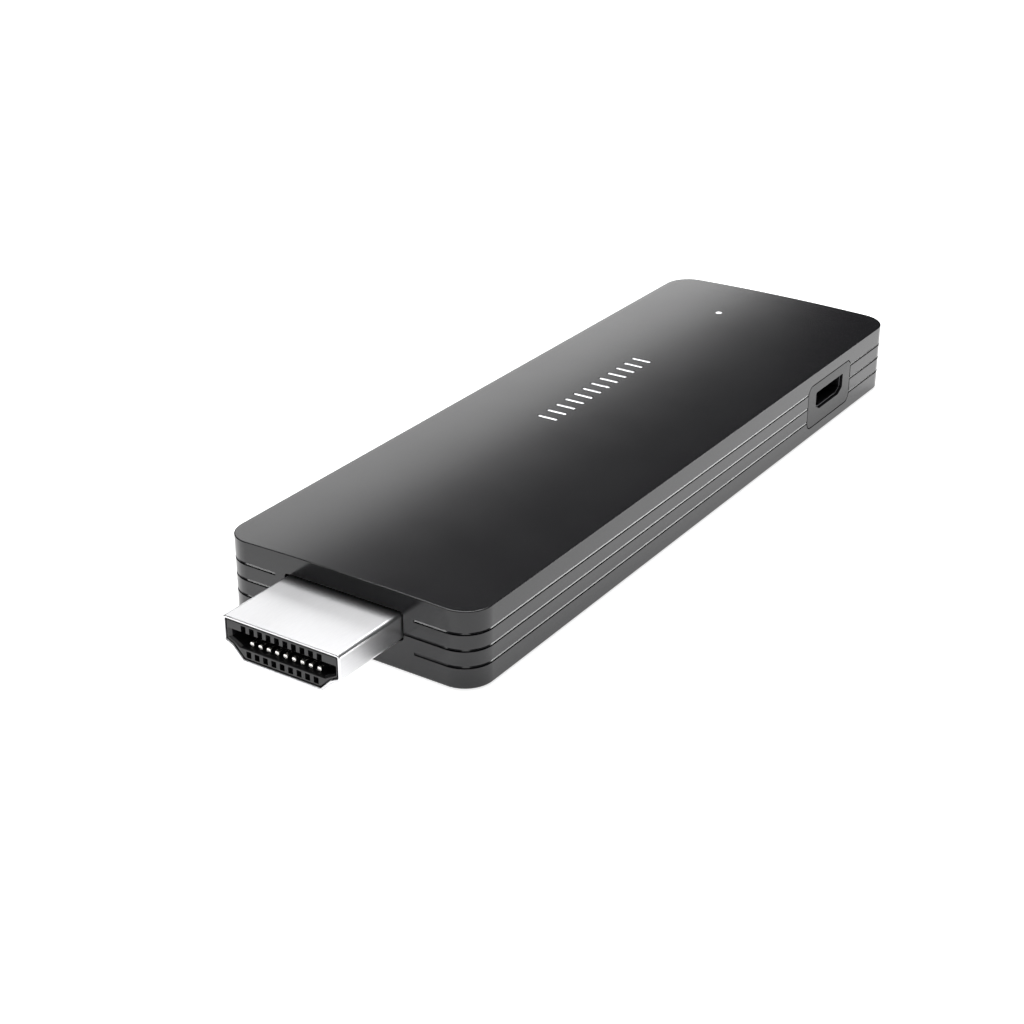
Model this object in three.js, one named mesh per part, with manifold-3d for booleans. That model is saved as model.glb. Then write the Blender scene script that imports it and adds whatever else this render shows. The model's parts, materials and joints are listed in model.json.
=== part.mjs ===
// A plug-in streaming media player: a flat two-part case with a display plug at its front end,
// a power socket in its right side, a status light in its lid and a reset button in its left side.
// Millimetres. X is the width, Y runs from the plug to the tail, and Z is up from the underside.
import * as THREE from "three";
import { mergeVertices } from "three/addons/utils/BufferGeometryUtils.js";
import Module from "manifold-3d";

const wasm = await Module();
wasm.setup();

// Case. Lengths along Y count from the case's front face, where the plug comes out.
const CASE_WIDTH = 30.2;
const CASE_LENGTH = 91.6;
const CASE_HEIGHT = 8.25; // to the edge of the lid
const LID_CROWN = 0.3; // rise of the lid from its long edges to its middle
const CORNER_RADIUS = 3.15;
const WALL = 1.3;
const LID_THICKNESS = 1.2; // at the long edges
const FLOOR_THICKNESS = 1.2;
const SEAM_HEIGHT = 4.11; // parting line of the two shells, in the middle groove
const GROOVE_PITCH = 1.77;
const GROOVE_WIDTH = 0.3;
const GROOVE_DEPTH = 0.25;
const GROOVE_STOP = 1.2; // where the outer grooves end, beside the plug's opening
const LIP_HEIGHT = 0.7; // tongue of the lower shell inside the upper shell's wall
const LIP_THICKNESS = 0.55;
const FIT = 0.1; // clearance between pieces that slide into each other
const HAIR = 0.02; // clearance between pieces that all but touch

// Display plug
const PLUG_WIDTH = 13.9;
const PLUG_HEIGHT = 4.45;
const PLUG_REACH = 9.3; // in front of the case
const PLUG_MIDDLE = 4.03; // height of the plug's middle
const PLUG_OPENING_GAP = 0.17;
const SLEEVE_WALL = 0.3;
const SLEEVE_CORNER = 0.5;
const SLEEVE_FLANGE = 0.6;
const FLANGE_THICKNESS = 0.3;
const SIDE_DROP = 2.2; // straight part of the plug's side, inside the sleeve
const STEP_IN = 0.88;
const STEP_DROP = 0.4;
const FOOT_IN = 2.1;
const INSULATOR_RECESS = 0.1;
const BLOCK_WIDTH = 15.4; // the insulator's block behind the front wall
const BLOCK_HEIGHT = 4.8;
const BLOCK_LENGTH = 2.6;
const SLOT_TOP = 1.06; // below the sleeve's inner top
const SLOT_HEIGHT = 1.54;
const SLOT_END = 0.27;
const SLOT_DEPTH = 8.2;
const CHANNEL_WIDTH = 0.55;
const UPPER_CHANNEL_TOP = 0.31; // below the sleeve's inner top
const LOWER_CHANNEL_BOTTOM = 3.58;
const CONTACT_PITCH = 1;
const UPPER_CONTACTS = 10;
const LOWER_CONTACTS = 9;
const CONTACT_WIDTH = 0.4;
const CONTACT_THICKNESS = 0.18;
const CONTACT_SETBACK = 0.5; // tip behind the insulator's front
const CONTACT_NOSE = 0.45; // how far the sprung tip reaches into the slot
const NOSE_LENGTH = 1.6;
const SOLDER_LENGTH = 1.3;

// Main board
const BOARD_THICKNESS = 0.8;
const BOARD_SIDE_GAP = 1; // to the case's walls
const BOARD_FRONT_GAP = 0.35; // to the plug's block
const SCREW_RADIUS = 0.6;
const SCREW_HEAD_RADIUS = 1.2;
const SCREW_HEAD_HEIGHT = 0.6;
const SCREW_LENGTH = 2.2; // below the head
const SCREW_EDGE = 1.7; // from the board's edge to the screw
const SCREW_FROM_FRONT = 42;
const BOSS_RADIUS = 1.5;
const POST_RADIUS = 0.8;
const POST_EDGE = 1.4; // from the board's edge to a post
const FRONT_POST = 7.8;
const TAIL_POST = 8; // from the tail
const DRIVER_SLOT = 0.35;

// Shielded group behind the plug
const SHIELD_START = 10;
const SHIELD_WIDTH = 19.2;
const SHIELD_LENGTH = 25.2;
const SHIELD_HEIGHT = 1.6;
const SHIELD_SHEET = 0.2;
const MEMORY_SIZE = [8.4, 9, 0.9];
const MEMORY_APART = 9.2;
const MEMORY_FROM_SHIELD = 5.6;
const PROCESSOR_SIZE = [12, 12, 1.1];
const PROCESSOR_FROM_SHIELD = 18;
const LID_PAD_SIDE = 14;
const SPREADER_THICKNESS = 0.4;
const SPREADER_POST_GAP = 1.6; // between a spreader and the posts beside it
const SPREADER_LENGTH = 29;
const FLASH_SIZE = [11.5, 13, 1];
const FLASH_FROM_SHIELD = 13;
const LOWER_PAD_SIDE = 10;

// Radio and power parts, counted from the tail
const RADIO_SIZE = [12, 10, 1.5];
const RADIO_FROM_TAIL = 32;
const POWER_FROM_TAIL = 24.6;
const POWER_CHIP_SIZE = [4, 4, 0.9];
const POWER_CHIP_X = 6;
const COIL_SIZE = [4, 4, 1.8];
const COIL_X = 0.5;
const CRYSTAL_SIZE = [3.2, 2.5, 0.7];
const CRYSTAL_X = -5.5;
const ANTENNA_FROM_TAIL = 4.3;
const ANTENNA_LENGTH = 5.5;
const ANTENNA_X = 6.5;
const ANTENNA_HEIGHT = 2;
const ANTENNA_FOOT = 1.2;
const ANTENNA_SHEET = 0.25;

// Power socket and its bezel
const PORT_FROM_TAIL = 16.7;
const PORT_HEIGHT = 4.35; // height of the socket's middle
const BEZEL_LENGTH = 11.4;
const BEZEL_HEIGHT = 5.3;
const BEZEL_MIDDLE = 4.05;
const BEZEL_CORNER = 0.9;
const BEZEL_GAP = 0.06;
const EAR_LENGTH = 0.7;
const EAR_THICKNESS = 0.5;
const SOCKET_WIDTH = 7.2;
const SOCKET_HEIGHT = 2.25;
const SOCKET_DEPTH = 5;
const SOCKET_SHEET = 0.2;
const SOCKET_SETBACK = 0.3; // behind the bezel's face
const SOCKET_CHAMFER_LENGTH = 1;
const SOCKET_CHAMFER_HEIGHT = 0.6;
const SOCKET_GAP = 0.06;
const TAB_LENGTH = 0.8;
const TAB_WIDTH = 1.8;
const TONGUE_WIDTH = 3.7;
const TONGUE_THICKNESS = 0.45;
const TONGUE_SETBACK = 0.9;
const TONGUE_BLOCK = 1;
const SOCKET_CONTACTS = 5;
const SOCKET_CONTACT_PITCH = 0.65;
const SOCKET_CONTACT_WIDTH = 0.3;
const SOCKET_CONTACT_THICKNESS = 0.12;
const SOCKET_TAIL = 1.2;

// Reset button and its switch
const BUTTON_FROM_TAIL = 16.7;
const BUTTON_LENGTH = 4.2;
const BUTTON_HEIGHT = 1.3;
const BUTTON_TRAVEL = 0.25;
const BUTTON_FLANGE = 0.6;
const BUTTON_FLANGE_THICKNESS = 0.4;
const SWITCH_SIZE = [3, 4.4, 1.4];
const SWITCH_SETBACK = 0.2; // from the board's edge
const PLUNGER_WIDTH = 1.6;
const PLUNGER_HEIGHT = 0.7;
const PLUNGER_DEPTH = 0.5; // inside the switch, at rest

// Status light and inlay, on one line of the lid
const LINE_X = -3.7;
const LIGHT_FROM_TAIL = 10;
const LIGHT_RADIUS = 0.42;
const PIPE_FOOT_RADIUS = 1;
const LED_SIZE = [1.6, 0.8, 0.6];
const PIPE_GAP = 0.2; // between the lamp and the light pipe
const INLAY_START = 41.4;
const INLAY_BARS = 12;
const INLAY_PITCH = 1.87;
const INLAY_BAR_WIDTH = 0.5;
const INLAY_BAR_LENGTH = 2.6;
const INLAY_SKIN = 0.6; // lid left over the inlay's carrier
const CARRIER_THICKNESS = 0.3;
const CARRIER_EDGE = 0.5;

const ARC_STEPS = 2;
const CASE_ARC_STEPS = 4;
const TURNED_STEPS = 14;
const BEYOND = 3; // how far a cutter runs past what it cuts

// Sizes that follow from the ones above
const halfWidth = CASE_WIDTH / 2;
const cavityTop = CASE_HEIGHT - LID_THICKNESS;
const boardTop = PLUG_MIDDLE + BOARD_THICKNESS / 2;
const boardUnder = PLUG_MIDDLE - BOARD_THICKNESS / 2;
const boardHalf = halfWidth - WALL - BOARD_SIDE_GAP;
const blockStart = WALL + HAIR + FLANGE_THICKNESS;
const blockEnd = blockStart + BLOCK_LENGTH;
const boardStart = blockEnd + BOARD_FRONT_GAP;
const boardEnd = CASE_LENGTH - WALL - BOARD_SIDE_GAP;
const sleeveInnerTop = PLUG_MIDDLE + PLUG_HEIGHT / 2 - SLEEVE_WALL;
const insulatorFront = -PLUG_REACH + INSULATOR_RECESS;
const portY = CASE_LENGTH - PORT_FROM_TAIL;
const buttonY = CASE_LENGTH - BUTTON_FROM_TAIL;
const buttonZ = SEAM_HEIGHT + GROOVE_PITCH / 2;
const lightY = CASE_LENGTH - LIGHT_FROM_TAIL;
const shieldTop = boardTop + SHIELD_HEIGHT;
const shieldMiddle = SHIELD_START + SHIELD_LENGTH / 2;

const part = new THREE.Group();
const assembly = new THREE.Group();
assembly.position.y = (PLUG_REACH - CASE_LENGTH) / 2;
part.add(assembly);

// ---- shapes and solids ----

function polygon(points) {
  return new THREE.Shape(points.map(([x, y]) => new THREE.Vector2(x, y)));
}

function rectangle(width, height) {
  const x = width / 2;
  const y = height / 2;
  return polygon([[-x, -y], [x, -y], [x, y], [-x, y]]);
}

function roundRectangle(width, height, radius) {
  const x = width / 2 - radius;
  const y = height / 2 - radius;
  const shape = new THREE.Shape();
  shape.absarc(x, -y, radius, -Math.PI / 2, 0);
  shape.absarc(x, y, radius, 0, Math.PI / 2);
  shape.absarc(-x, y, radius, Math.PI / 2, Math.PI);
  shape.absarc(-x, -y, radius, Math.PI, Math.PI * 1.5);
  shape.closePath();
  return shape;
}

// Moves every side of an anticlockwise outline outwards by a distance.
function grow(points, distance) {
  const sides = points.map((a, i) => {
    const b = points[(i + 1) % points.length];
    const along = new THREE.Vector2(b[0] - a[0], b[1] - a[1]).normalize();
    const start = new THREE.Vector2(a[0] + along.y * distance, a[1] - along.x * distance);
    return { start, along };
  });
  return sides.map((side, i) => {
    const last = sides.at(i - 1);
    const gap = side.start.clone().sub(last.start);
    const reach = gap.cross(side.along) / last.along.cross(side.along);
    const corner = last.start.clone().addScaledVector(last.along, reach);
    return [corner.x, corner.y];
  });
}

// An outline with each corner turned into a curve that starts `cut` before it.
function softened(points, cut) {
  const shape = new THREE.Shape();
  points.forEach((corner, i) => {
    const here = new THREE.Vector2(...corner);
    const before = new THREE.Vector2(...points.at(i - 1)).sub(here).setLength(cut).add(here);
    const after = new THREE.Vector2(...points[(i + 1) % points.length]);
    after.sub(here).setLength(cut).add(here);
    if (i === 0) shape.moveTo(before.x, before.y);
    else shape.lineTo(before.x, before.y);
    shape.quadraticCurveTo(here.x, here.y, after.x, after.y);
  });
  shape.closePath();
  return shape;
}

function extruded(shape, depth, steps) {
  return new THREE.ExtrudeGeometry(shape, { depth, bevelEnabled: false, curveSegments: steps });
}

const X = new THREE.Vector3(1, 0, 0);
const Y = new THREE.Vector3(0, 1, 0);
const Z = new THREE.Vector3(0, 0, 1);
const BACK = new THREE.Vector3(0, -1, 0);

function upward(shape, bottom, top, steps = ARC_STEPS) {
  return solid(extruded(shape, top - bottom, steps).translate(0, 0, bottom));
}

// The shape's own x and y become X and Z.
function alongY(shape, start, end, steps = ARC_STEPS) {
  const turn = new THREE.Matrix4().makeBasis(X, Z, BACK);
  return solid(extruded(shape, end - start, steps).applyMatrix4(turn).translate(0, end, 0));
}

// The shape's own x and y become Y and Z.
function alongX(shape, start, end) {
  const turn = new THREE.Matrix4().makeBasis(Y, Z, X);
  return solid(extruded(shape, end - start, ARC_STEPS).applyMatrix4(turn).translate(start, 0, 0));
}

function block([x0, x1], [y0, y1], [z0, z1]) {
  const box = new THREE.BoxGeometry(x1 - x0, y1 - y0, z1 - z0);
  return solid(box.translate((x0 + x1) / 2, (y0 + y1) / 2, (z0 + z1) / 2));
}

function turned(profile) {
  const points = profile.map(([radius, height]) => new THREE.Vector2(radius, height));
  return new THREE.LatheGeometry(points, TURNED_STEPS).rotateX(Math.PI / 2);
}

function rod(radius, bottom, top) {
  return solid(turned([[0, bottom], [radius, bottom], [radius, top], [0, top]]));
}

function solid(geometry) {
  const bare = geometry.clone();
  bare.deleteAttribute("normal");
  bare.deleteAttribute("uv");
  const merged = mergeVertices(bare, 1e-5);
  return new wasm.Manifold(
    new wasm.Mesh({
      numProp: 3,
      vertProperties: merged.attributes.position.array,
      triVerts: new Uint32Array(merged.index.array),
    }),
  );
}

function surface(body) {
  const mesh = body.getMesh();
  const geometry = new THREE.BufferGeometry();
  geometry.setAttribute("position", new THREE.BufferAttribute(mesh.vertProperties, 3));
  geometry.setIndex(new THREE.BufferAttribute(mesh.triVerts, 1));
  geometry.computeVertexNormals();
  return geometry;
}

function finish(colour, roughness, metalness = 0) {
  return new THREE.MeshStandardMaterial({ color: colour, roughness, metalness });
}

const finishes = {
  shell: finish(0x2c2c2e, 0.5),
  bezel: finish(0x4a4a4d, 0.45),
  chrome: finish(0xd8d8dc, 0.12, 1),
  sleeve: finish(0xe6e6e8, 0.3, 1),
  insulator: finish(0x2a2a2c, 0.6),
  gold: finish(0xd9b45a, 0.25, 1),
  tin: finish(0xbfc2c6, 0.35, 1),
  board: finish(0x123d2a, 0.55),
  chip: finish(0x1a1a1c, 0.6),
  pad: finish(0x9aa7ad, 0.8),
  aluminium: finish(0xb8bcc0, 0.4, 1),
  lamp: finish(0xf4f2e8, 0.3),
  clear: finish(0xffffff, 0.1),
};

function add(name, body, material, place = [0, 0, 0]) {
  const mesh = new THREE.Mesh(surface(body), material);
  mesh.name = name;
  mesh.position.set(...place);
  assembly.add(mesh);
}

// ---- outlines shared by several pieces ----

// The plug's section inside its sleeve, anticlockwise from the lower left corner.
function plugOutline(distance) {
  const side = PLUG_WIDTH / 2 - SLEEVE_WALL;
  const top = PLUG_HEIGHT / 2 - SLEEVE_WALL;
  const right = [
    [side - FOOT_IN, -top],
    [side - STEP_IN, top - SIDE_DROP - STEP_DROP],
    [side, top - SIDE_DROP],
    [side, top],
  ];
  const left = right.map(([x, y]) => [-x, y]).reverse();
  return grow([...right, ...left], distance).map(([x, y]) => [x, y + PLUG_MIDDLE]);
}

function plugShape(distance) {
  return softened(plugOutline(distance), SLEEVE_CORNER / 2);
}

// The socket's section, wide at the top and with both lower corners cut off.
function socketShape(distance) {
  const side = SOCKET_WIDTH / 2;
  const top = SOCKET_HEIGHT / 2;
  const outline = [
    [-side + SOCKET_CHAMFER_LENGTH, -top],
    [side - SOCKET_CHAMFER_LENGTH, -top],
    [side, -top + SOCKET_CHAMFER_HEIGHT],
    [side, top],
    [-side, top],
    [-side, -top + SOCKET_CHAMFER_HEIGHT],
  ];
  const placed = grow(outline, distance).map(([y, z]) => [y + portY, z + PORT_HEIGHT]);
  return softened(placed, 0.18);
}

function casePlan(inset, bottom, top) {
  const width = CASE_WIDTH - 2 * inset;
  const length = CASE_LENGTH - 2 * inset;
  const plan = roundRectangle(width, length, CORNER_RADIUS - inset);
  return upward(plan, bottom, top, CASE_ARC_STEPS).translate(0, CASE_LENGTH / 2, 0);
}

function crownRadius() {
  return (halfWidth ** 2 + LID_CROWN ** 2) / (2 * LID_CROWN);
}

function lidHeight(x) {
  const radius = crownRadius();
  return CASE_HEIGHT + LID_CROWN - radius + Math.sqrt(radius ** 2 - x ** 2);
}

// The whole case as one block, with its lid crowned across the width.
function caseBlock() {
  const radius = crownRadius();
  const rise = Math.asin(halfWidth / radius);
  const section = new THREE.Shape();
  section.moveTo(-halfWidth, 0);
  section.lineTo(halfWidth, 0);
  section.absarc(0, CASE_HEIGHT + LID_CROWN - radius, radius, Math.PI / 2 - rise, Math.PI / 2 + rise);
  section.closePath();
  const bar = alongY(section, 0, CASE_LENGTH, CASE_ARC_STEPS);
  return casePlan(0, -BEYOND, CASE_HEIGHT + BEYOND).intersect(bar);
}

// A band cut into the case's outside all the way round.
function groove(height) {
  const low = height - GROOVE_WIDTH / 2;
  const high = height + GROOVE_WIDTH / 2;
  return casePlan(-BEYOND, low, high).subtract(casePlan(GROOVE_DEPTH, low - BEYOND, high + BEYOND));
}

function stoppedGroove(height) {
  const half = PLUG_WIDTH / 2 + PLUG_OPENING_GAP + GROOVE_STOP;
  const keep = block([-half, half], [-BEYOND, WALL + BEYOND], [0, CASE_HEIGHT]);
  return groove(height).subtract(keep);
}

const plugOpening = alongY(plugShape(SLEEVE_WALL + PLUG_OPENING_GAP), -BEYOND, WALL + BEYOND);

function bezelPlate(distance, start, end) {
  const length = BEZEL_LENGTH + 2 * distance;
  const height = BEZEL_HEIGHT + 2 * distance;
  const shape = roundRectangle(length, height, BEZEL_CORNER + distance);
  return alongX(shape, start, end).translate(0, portY, BEZEL_MIDDLE);
}

function buttonBar(distance, start, end) {
  const length = BUTTON_LENGTH + 2 * distance;
  const height = BUTTON_HEIGHT + 2 * distance;
  const shape = roundRectangle(length, height, height / 2 - HAIR);
  return alongX(shape, start, end).translate(0, buttonY, buttonZ);
}

// ---- case ----

// The tongue of the lower shell, or with a clearance the rebate that takes it.
function lip(clearance) {
  const outer = WALL - LIP_THICKNESS - clearance;
  const top = SEAM_HEIGHT + LIP_HEIGHT + clearance;
  const ring = casePlan(outer, SEAM_HEIGHT - HAIR, top);
  return ring.subtract(casePlan(WALL + HAIR, -BEYOND, top + BEYOND));
}

function lipGaps() {
  const plugHalf = PLUG_WIDTH / 2 + 2 * PLUG_OPENING_GAP;
  const bezelHalf = BEZEL_LENGTH / 2 + 2 * FIT;
  const buttonHalf = BUTTON_LENGTH / 2 + BUTTON_FLANGE;
  const heights = [SEAM_HEIGHT, CASE_HEIGHT];
  return [
    block([-plugHalf, plugHalf], [-BEYOND, WALL + BEYOND], heights),
    block([0, CASE_WIDTH], [portY - bezelHalf, portY + bezelHalf], heights),
    block([-CASE_WIDTH, 0], [buttonY - buttonHalf, buttonY + buttonHalf], heights),
  ];
}

const screwX = boardHalf - SCREW_EDGE;
const postX = boardHalf - POST_EDGE;

function upperShell() {
  const above = casePlan(-BEYOND, SEAM_HEIGHT, 2 * CASE_HEIGHT);
  let shell = caseBlock().intersect(above);
  shell = shell.subtract(casePlan(WALL, 0, cavityTop));
  for (const x of [-postX, postX])
    for (const y of [FRONT_POST, CASE_LENGTH - TAIL_POST])
      shell = shell.add(rod(POST_RADIUS, boardTop, cavityTop + HAIR).translate(x, y, 0));
  const cutters = [
    groove(SEAM_HEIGHT),
    stoppedGroove(SEAM_HEIGHT + GROOVE_PITCH),
    lip(FIT),
    plugOpening,
    bezelPlate(BEZEL_GAP, halfWidth - WALL - BEYOND, halfWidth + BEYOND),
    buttonBar(FIT, -halfWidth - BEYOND, -halfWidth + WALL + BEYOND),
    rod(LIGHT_RADIUS + HAIR, cavityTop - BEYOND, 2 * CASE_HEIGHT).translate(LINE_X, lightY, 0),
    inlayCarrier(FIT, cavityTop - BEYOND, carrierTop() + HAIR),
    ...inlayBars(HAIR, cavityTop, 2 * CASE_HEIGHT),
  ];
  return cutters.reduce((left, cutter) => left.subtract(cutter), shell);
}

function lowerShell() {
  let shell = casePlan(0, 0, SEAM_HEIGHT).subtract(casePlan(WALL, FLOOR_THICKNESS, CASE_HEIGHT));
  const tongue = lipGaps().reduce((left, gap) => left.subtract(gap), lip(0));
  shell = shell.add(tongue);
  for (const x of [-screwX, screwX]) {
    const boss = rod(BOSS_RADIUS, FLOOR_THICKNESS - HAIR, boardUnder);
    const hole = rod(SCREW_RADIUS + HAIR, boardTop - SCREW_LENGTH - FIT, boardTop);
    shell = shell.add(boss.subtract(hole).translate(x, SCREW_FROM_FRONT, 0));
  }
  for (const x of [-postX, postX])
    for (const y of [FRONT_POST, CASE_LENGTH - TAIL_POST])
      shell = shell.add(rod(POST_RADIUS, FLOOR_THICKNESS - HAIR, boardUnder).translate(x, y, 0));
  const cutters = [
    groove(SEAM_HEIGHT),
    stoppedGroove(SEAM_HEIGHT - GROOVE_PITCH),
    plugOpening,
    bezelPlate(BEZEL_GAP, halfWidth - WALL - BEYOND, halfWidth + BEYOND),
  ];
  return cutters.reduce((left, cutter) => left.subtract(cutter), shell);
}

// ---- inlay and status light ----

const inlayMiddle = INLAY_START + (INLAY_BAR_WIDTH + (INLAY_BARS - 1) * INLAY_PITCH) / 2;

function carrierTop() {
  return CASE_HEIGHT - INLAY_SKIN;
}

function inlayCarrier(distance, bottom, top) {
  const width = INLAY_BAR_LENGTH + 2 * (CARRIER_EDGE + distance);
  const length = INLAY_BAR_WIDTH + (INLAY_BARS - 1) * INLAY_PITCH + 2 * (CARRIER_EDGE + distance);
  return upward(rectangle(width, length), bottom, top).translate(LINE_X, inlayMiddle, 0);
}

function inlayBars(distance, bottom, top) {
  const bars = [];
  for (let i = 0; i < INLAY_BARS; i++) {
    const width = INLAY_BAR_WIDTH + 2 * distance;
    const shape = roundRectangle(INLAY_BAR_LENGTH + 2 * distance, width, width / 2 - HAIR);
    const y = INLAY_START + INLAY_BAR_WIDTH / 2 + i * INLAY_PITCH;
    bars.push(upward(shape, bottom, top).translate(LINE_X, y, 0));
  }
  return bars;
}

// Twelve plain bars that stand through the lid from a carrier under its skin.
function inlay() {
  const top = carrierTop();
  const plate = inlayCarrier(0, top - CARRIER_THICKNESS, top);
  const bars = inlayBars(0, top - HAIR, lidHeight(LINE_X) - HAIR);
  return bars.reduce((joined, bar) => joined.add(bar), plate);
}

function lightPipe() {
  const foot = boardTop + LED_SIZE[2] + PIPE_GAP;
  const profile = [
    [0, foot],
    [PIPE_FOOT_RADIUS, foot],
    [PIPE_FOOT_RADIUS, cavityTop],
    [LIGHT_RADIUS, cavityTop],
    [LIGHT_RADIUS, lidHeight(LINE_X) - HAIR],
    [0, lidHeight(LINE_X) - HAIR],
  ];
  return solid(turned(profile));
}

// ---- display plug ----

function plugSleeve() {
  const tube = alongY(plugShape(SLEEVE_WALL), -PLUG_REACH, blockStart);
  const flange = alongY(plugShape(SLEEVE_WALL + SLEEVE_FLANGE), WALL + HAIR, blockStart);
  return tube.add(flange).subtract(alongY(plugShape(0), -PLUG_REACH - BEYOND, blockStart + BEYOND));
}

function contactRow(count) {
  return Array.from({ length: count }, (_, i) => (i - (count - 1) / 2) * CONTACT_PITCH);
}

const upperChannelTop = sleeveInnerTop - UPPER_CHANNEL_TOP;
const lowerChannelBottom = sleeveInnerTop - LOWER_CHANNEL_BOTTOM;
const slotTop = sleeveInnerTop - SLOT_TOP;
const slotBottom = slotTop - SLOT_HEIGHT;

function plugInsulator() {
  const core = alongY(plugShape(-HAIR), insulatorFront, blockStart + HAIR);
  const rear = roundRectangle(BLOCK_WIDTH, BLOCK_HEIGHT, SLEEVE_CORNER);
  let body = core.add(alongY(rear, blockStart, blockEnd).translate(0, 0, PLUG_MIDDLE));
  const slotHalf = PLUG_WIDTH / 2 - SLEEVE_WALL - SLOT_END;
  const slotEnd = insulatorFront + SLOT_DEPTH;
  body = body.subtract(block([-slotHalf, slotHalf], [-PLUG_REACH - BEYOND, slotEnd], [slotBottom, slotTop]));
  const rows = [
    [contactRow(UPPER_CONTACTS), [slotTop - HAIR, upperChannelTop]],
    [contactRow(LOWER_CONTACTS), [lowerChannelBottom, slotBottom + HAIR]],
  ];
  for (const [places, heights] of rows)
    for (const x of places) {
      const width = [x - CHANNEL_WIDTH / 2, x + CHANNEL_WIDTH / 2];
      body = body.subtract(block(width, [-PLUG_REACH - BEYOND, blockEnd + BEYOND], heights));
    }
  return body;
}

// A strip of sheet that follows a path in the YZ plane, with its thickness below the path.
function strip(path, thickness, width) {
  const under = path.map(([y, z], i) => {
    const [y0, z0] = path[Math.max(i - 1, 0)];
    const [y1, z1] = path[Math.min(i + 1, path.length - 1)];
    const along = new THREE.Vector2(y1 - y0, z1 - z0).normalize();
    return [y + along.y * thickness, z - along.x * thickness];
  });
  return alongX(polygon([...under, ...[...path].reverse()]), -width / 2, width / 2);
}

// A sprung contact of the upper row: from its nose in the slot back to its pad on the board.
function contact() {
  const tip = insulatorFront + CONTACT_SETBACK;
  const nose = slotTop - CONTACT_NOSE + CONTACT_THICKNESS;
  const tail = boardStart + SOLDER_LENGTH;
  const path = [
    [tip, slotTop],
    [tip + NOSE_LENGTH / 2, nose],
    [tip + NOSE_LENGTH, slotTop],
    [tip + 2 * NOSE_LENGTH, upperChannelTop],
    [blockEnd + BOARD_FRONT_GAP, upperChannelTop],
    [tail, boardTop + CONTACT_THICKNESS],
    [tail + SOLDER_LENGTH, boardTop + CONTACT_THICKNESS],
  ];
  return strip(path, CONTACT_THICKNESS, CONTACT_WIDTH);
}

// The lower row is the same strip turned over and moved to the lower channels.
function lowerContact() {
  const tip = insulatorFront + CONTACT_SETBACK;
  const nose = slotBottom + CONTACT_NOSE;
  const tail = boardStart + SOLDER_LENGTH;
  const path = [
    [tip, slotBottom + CONTACT_THICKNESS],
    [tip + NOSE_LENGTH / 2, nose],
    [tip + NOSE_LENGTH, slotBottom + CONTACT_THICKNESS],
    [tip + 2 * NOSE_LENGTH, lowerChannelBottom + CONTACT_THICKNESS],
    [blockEnd + BOARD_FRONT_GAP, lowerChannelBottom + CONTACT_THICKNESS],
    [tail, boardUnder],
    [tail + SOLDER_LENGTH, boardUnder],
  ];
  return strip(path, CONTACT_THICKNESS, CONTACT_WIDTH);
}

// ---- board and what stands on it ----

const socketBack = halfWidth - SOCKET_SETBACK - SOCKET_DEPTH;

function mainBoard() {
  const width = 2 * boardHalf;
  const length = boardEnd - boardStart;
  const plan = roundRectangle(width, length, 1);
  let board = upward(plan, boardUnder, boardTop).translate(0, boardStart + length / 2, 0);
  const notchHalf = SOCKET_WIDTH / 2 + FIT;
  const notch = [portY - notchHalf, portY + notchHalf];
  board = board.subtract(block([socketBack - FIT, CASE_WIDTH], notch, [0, CASE_HEIGHT]));
  for (const x of [-screwX, screwX])
    board = board.subtract(rod(SCREW_RADIUS + FIT, 0, CASE_HEIGHT).translate(x, SCREW_FROM_FRONT, 0));
  return board;
}

// A screw that stands on the board, with a straight driver slot in its head.
function boardScrew() {
  const profile = [
    [0, -SCREW_LENGTH],
    [SCREW_RADIUS, -SCREW_LENGTH + SCREW_RADIUS / 2],
    [SCREW_RADIUS, 0],
    [SCREW_HEAD_RADIUS, 0],
    [SCREW_HEAD_RADIUS, SCREW_HEAD_HEIGHT / 2],
    [SCREW_HEAD_RADIUS * 0.7, SCREW_HEAD_HEIGHT],
    [0, SCREW_HEAD_HEIGHT],
  ];
  const slot = DRIVER_SLOT / 2;
  const cut = block([-slot, slot], [-CASE_WIDTH, CASE_WIDTH], [SCREW_HEAD_HEIGHT / 2, CASE_HEIGHT]);
  return solid(turned(profile)).subtract(cut);
}

function chip([width, length, height]) {
  return upward(rectangle(width, length), 0, height);
}

function shieldFrame() {
  const outside = upward(roundRectangle(SHIELD_WIDTH, SHIELD_LENGTH, 1), 0, SHIELD_HEIGHT);
  const inner = [SHIELD_WIDTH - 2 * SHIELD_SHEET, SHIELD_LENGTH - 2 * SHIELD_SHEET];
  return outside.subtract(upward(roundRectangle(...inner, 1 - SHIELD_SHEET), -BEYOND, BEYOND));
}

function plate(width, length, thickness) {
  return upward(roundRectangle(width, length, 1), 0, thickness);
}

// A folded strip that stands on its foot.
function antenna() {
  const outline = [
    [0, 0],
    [ANTENNA_FOOT, 0],
    [ANTENNA_FOOT, ANTENNA_SHEET],
    [ANTENNA_SHEET, ANTENNA_SHEET],
    [ANTENNA_SHEET, ANTENNA_HEIGHT],
    [0, ANTENNA_HEIGHT],
  ];
  return alongX(polygon(outline), -ANTENNA_LENGTH / 2, ANTENNA_LENGTH / 2);
}

// ---- power socket ----

const socketFront = halfWidth - SOCKET_SETBACK;
const tongueUnder = boardTop + SOCKET_CONTACT_THICKNESS;
const bezelBack = halfWidth - WALL - HAIR - EAR_THICKNESS;

function portBezel() {
  const ears = rectangle(BEZEL_LENGTH + 2 * EAR_LENGTH, BEZEL_HEIGHT - 2 * BEZEL_GAP);
  const earPlate = alongX(ears, bezelBack, bezelBack + EAR_THICKNESS).translate(0, portY, BEZEL_MIDDLE);
  const body = bezelPlate(0, bezelBack, halfWidth).add(earPlate);
  return body.subtract(alongX(socketShape(SOCKET_GAP), 0, halfWidth + BEYOND));
}

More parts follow.
